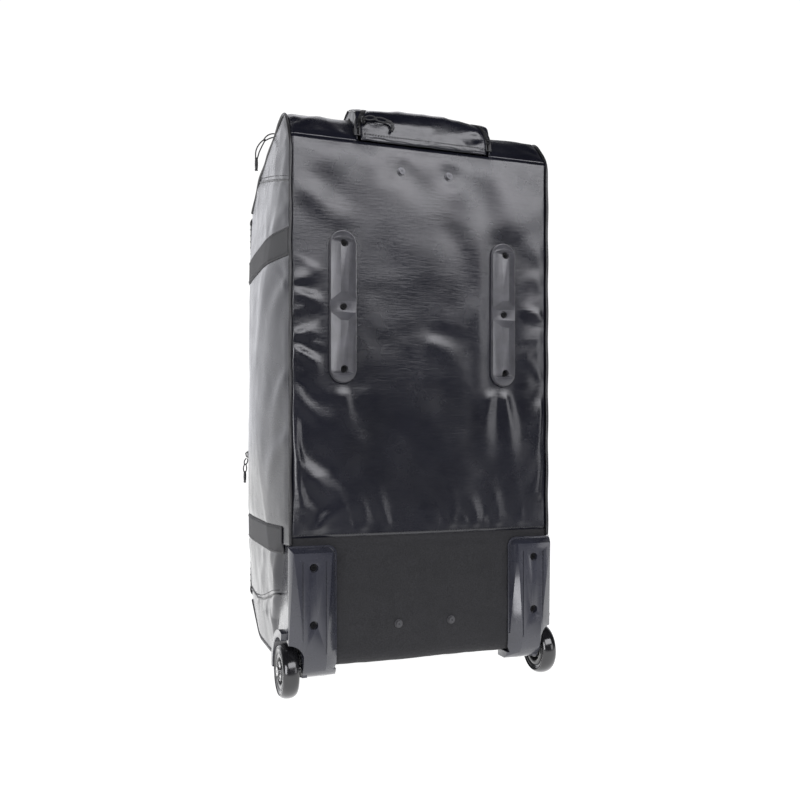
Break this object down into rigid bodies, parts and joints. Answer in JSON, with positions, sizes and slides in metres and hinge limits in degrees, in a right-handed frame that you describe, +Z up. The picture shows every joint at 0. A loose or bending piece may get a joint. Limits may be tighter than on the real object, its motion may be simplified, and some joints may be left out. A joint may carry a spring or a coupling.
{
  "type": "wheeled gear bag",
  "caption": "Upright wheeled travel bag in coated fabric with a zipped lid, telescopic trolley handle under a zipped flap, skid rails, moulded wheel housings and feet.",
  "frame": {"origin": "on the floor under the middle of the bag, as it stands on two wheels and two feet", "axes": "+Z up along the bag, -Y towards the wheeled back with its skid rails, +Y towards the zipped lid, +X across the bag"},
  "size_m": [0.4616, 0.3786, 0.8689],
  "materials": {
    "tarpaulin": "glossy coated fabric, fine weave",
    "ballistic": "matt woven nylon",
    "board": "matt",
    "piping": "satin",
    "webbing": "ribbed webbing",
    "zip": "satin coil",
    "slider": "satin black",
    "cord": "braided",
    "grip": "matt",
    "moulding": "semi-gloss moulded",
    "rail": "satin moulded",
    "trolley_plastic": "satin",
    "tube": "satin anodised",
    "screw": "black",
    "steel": "bright",
    "hub": "gloss",
    "tyre": "gloss polyurethane"
  },
  "bodies": {
    "bag": {"back_panel": "tarpaulin", "back_board": "board", "base_panel": "ballistic", "base_board": "board", "top_panel": "tarpaulin", "side_panel_left": "tarpaulin", "side_panel_right": "tarpaulin", "piping_left": "piping", "piping_right": "piping", "strap_upper_left": "webbing", "strap_lower_left": "webbing", "strap_upper_right": "webbing", "strap_lower_right": "webbing", "opening_rim": "piping", "main_zip_bag_teeth": "zip", "main_zip_slider": "slider", "end_zip": "zip", "end_zip_slider": "slider", "trolley_cup": "trolley_plastic", "trolley_lower_bracket": "trolley_plastic", "trolley_outer_tubes": "tube", "pocket_hood": "tarpaulin", "hood_zip_teeth": "zip", "rail_left": "rail", "rail_right": "rail", "rail_screws": "screw", "wheel_housing_left": "moulding", "wheel_housing_right": "moulding", "housing_screws": "screw", "trolley_screws": "screw", "axle_left": "steel", "axle_right": "steel", "front_feet": "moulding", "foot_pads": "grip", "foot_screws": "screw", "top_handle": "webbing", "base_handle": "webbing"},
    "lid": {"lid_shell": "tarpaulin", "main_zip_lid_teeth": "zip", "lid_pocket": "tarpaulin", "lid_pocket_zip": "zip"},
    "flap": {"flap": "tarpaulin", "flap_zip_teeth": "zip", "flap_zip_slider": "slider", "flap_pull_cord": "cord", "flap_pull_grip": "grip"},
    "trolley_middle": {"trolley_mid_tubes": "tube"},
    "trolley_handle": {"trolley_inner_tubes": "tube", "trolley_grip": "trolley_plastic"},
    "trolley_release": {"trolley_button": "trolley_plastic"},
    "wheel_left": {"tyre_left": "tyre", "hub_left": "hub", "bearings_left": "steel"},
    "wheel_right": {"tyre_right": "tyre", "hub_right": "hub", "bearings_right": "steel"},
    "main_zip_pull": {"main_pull_cord": "cord", "main_pull_grip": "grip"},
    "end_zip_pull": {"end_pull_cord": "cord", "end_pull_grip": "grip"}
  },
  "joints": [
    {"name": "lid_hinge", "type": "hinge", "parent": "bag", "child": "lid", "pos_m": [0.207, 0.1489, 0.43], "axis": [0, 0, -1], "range_deg": [0, 135]},
    {"name": "trolley_middle_slide", "type": "slide", "parent": "bag", "child": "trolley_middle", "axis": [0, 0, 1], "range_m": [0, 0.17]},
    {"name": "trolley_handle_slide", "type": "slide", "parent": "trolley_middle", "child": "trolley_handle", "axis": [0, 0, 1], "range_m": [0, 0.17]},
    {"name": "flap_hinge", "type": "hinge", "parent": "bag", "child": "flap", "pos_m": [0, -0.174, 0.806], "axis": [1, 0, 0], "range_deg": [0, 160]},
    {"name": "trolley_release_press", "type": "slide", "parent": "trolley_handle", "child": "trolley_release", "axis": [0, 0, -1], "range_m": [0, 0.003], "stiffness_N_per_m": 300},
    {"name": "wheel_left_axle", "type": "hinge", "parent": "bag", "child": "wheel_left", "pos_m": [-0.205, -0.149, 0.039], "axis": [1, 0, 0], "continuous": true},
    {"name": "wheel_right_axle", "type": "hinge", "parent": "bag", "child": "wheel_right", "pos_m": [0.205, -0.149, 0.039], "axis": [1, 0, 0], "continuous": true},
    {"name": "main_zip_pull_swing", "type": "hinge", "parent": "bag", "child": "main_zip_pull", "pos_m": [-0.213, 0.149, 0.342], "axis": [0, 1, 0], "range_deg": [0, 60]},
    {"name": "end_zip_pull_swing", "type": "hinge", "parent": "bag", "child": "end_zip_pull", "pos_m": [-0.192, -0.042, 0.844], "axis": [0, 1, 0], "range_deg": [0, 80]}
  ],
  "couplings": [
    {"joint": "trolley_handle_slide", "follows": "trolley_middle_slide", "ratio": 1},
    {"joint": "flap_hinge", "follows": "trolley_middle_slide", "rad_per_m": 16.4}
  ]
}
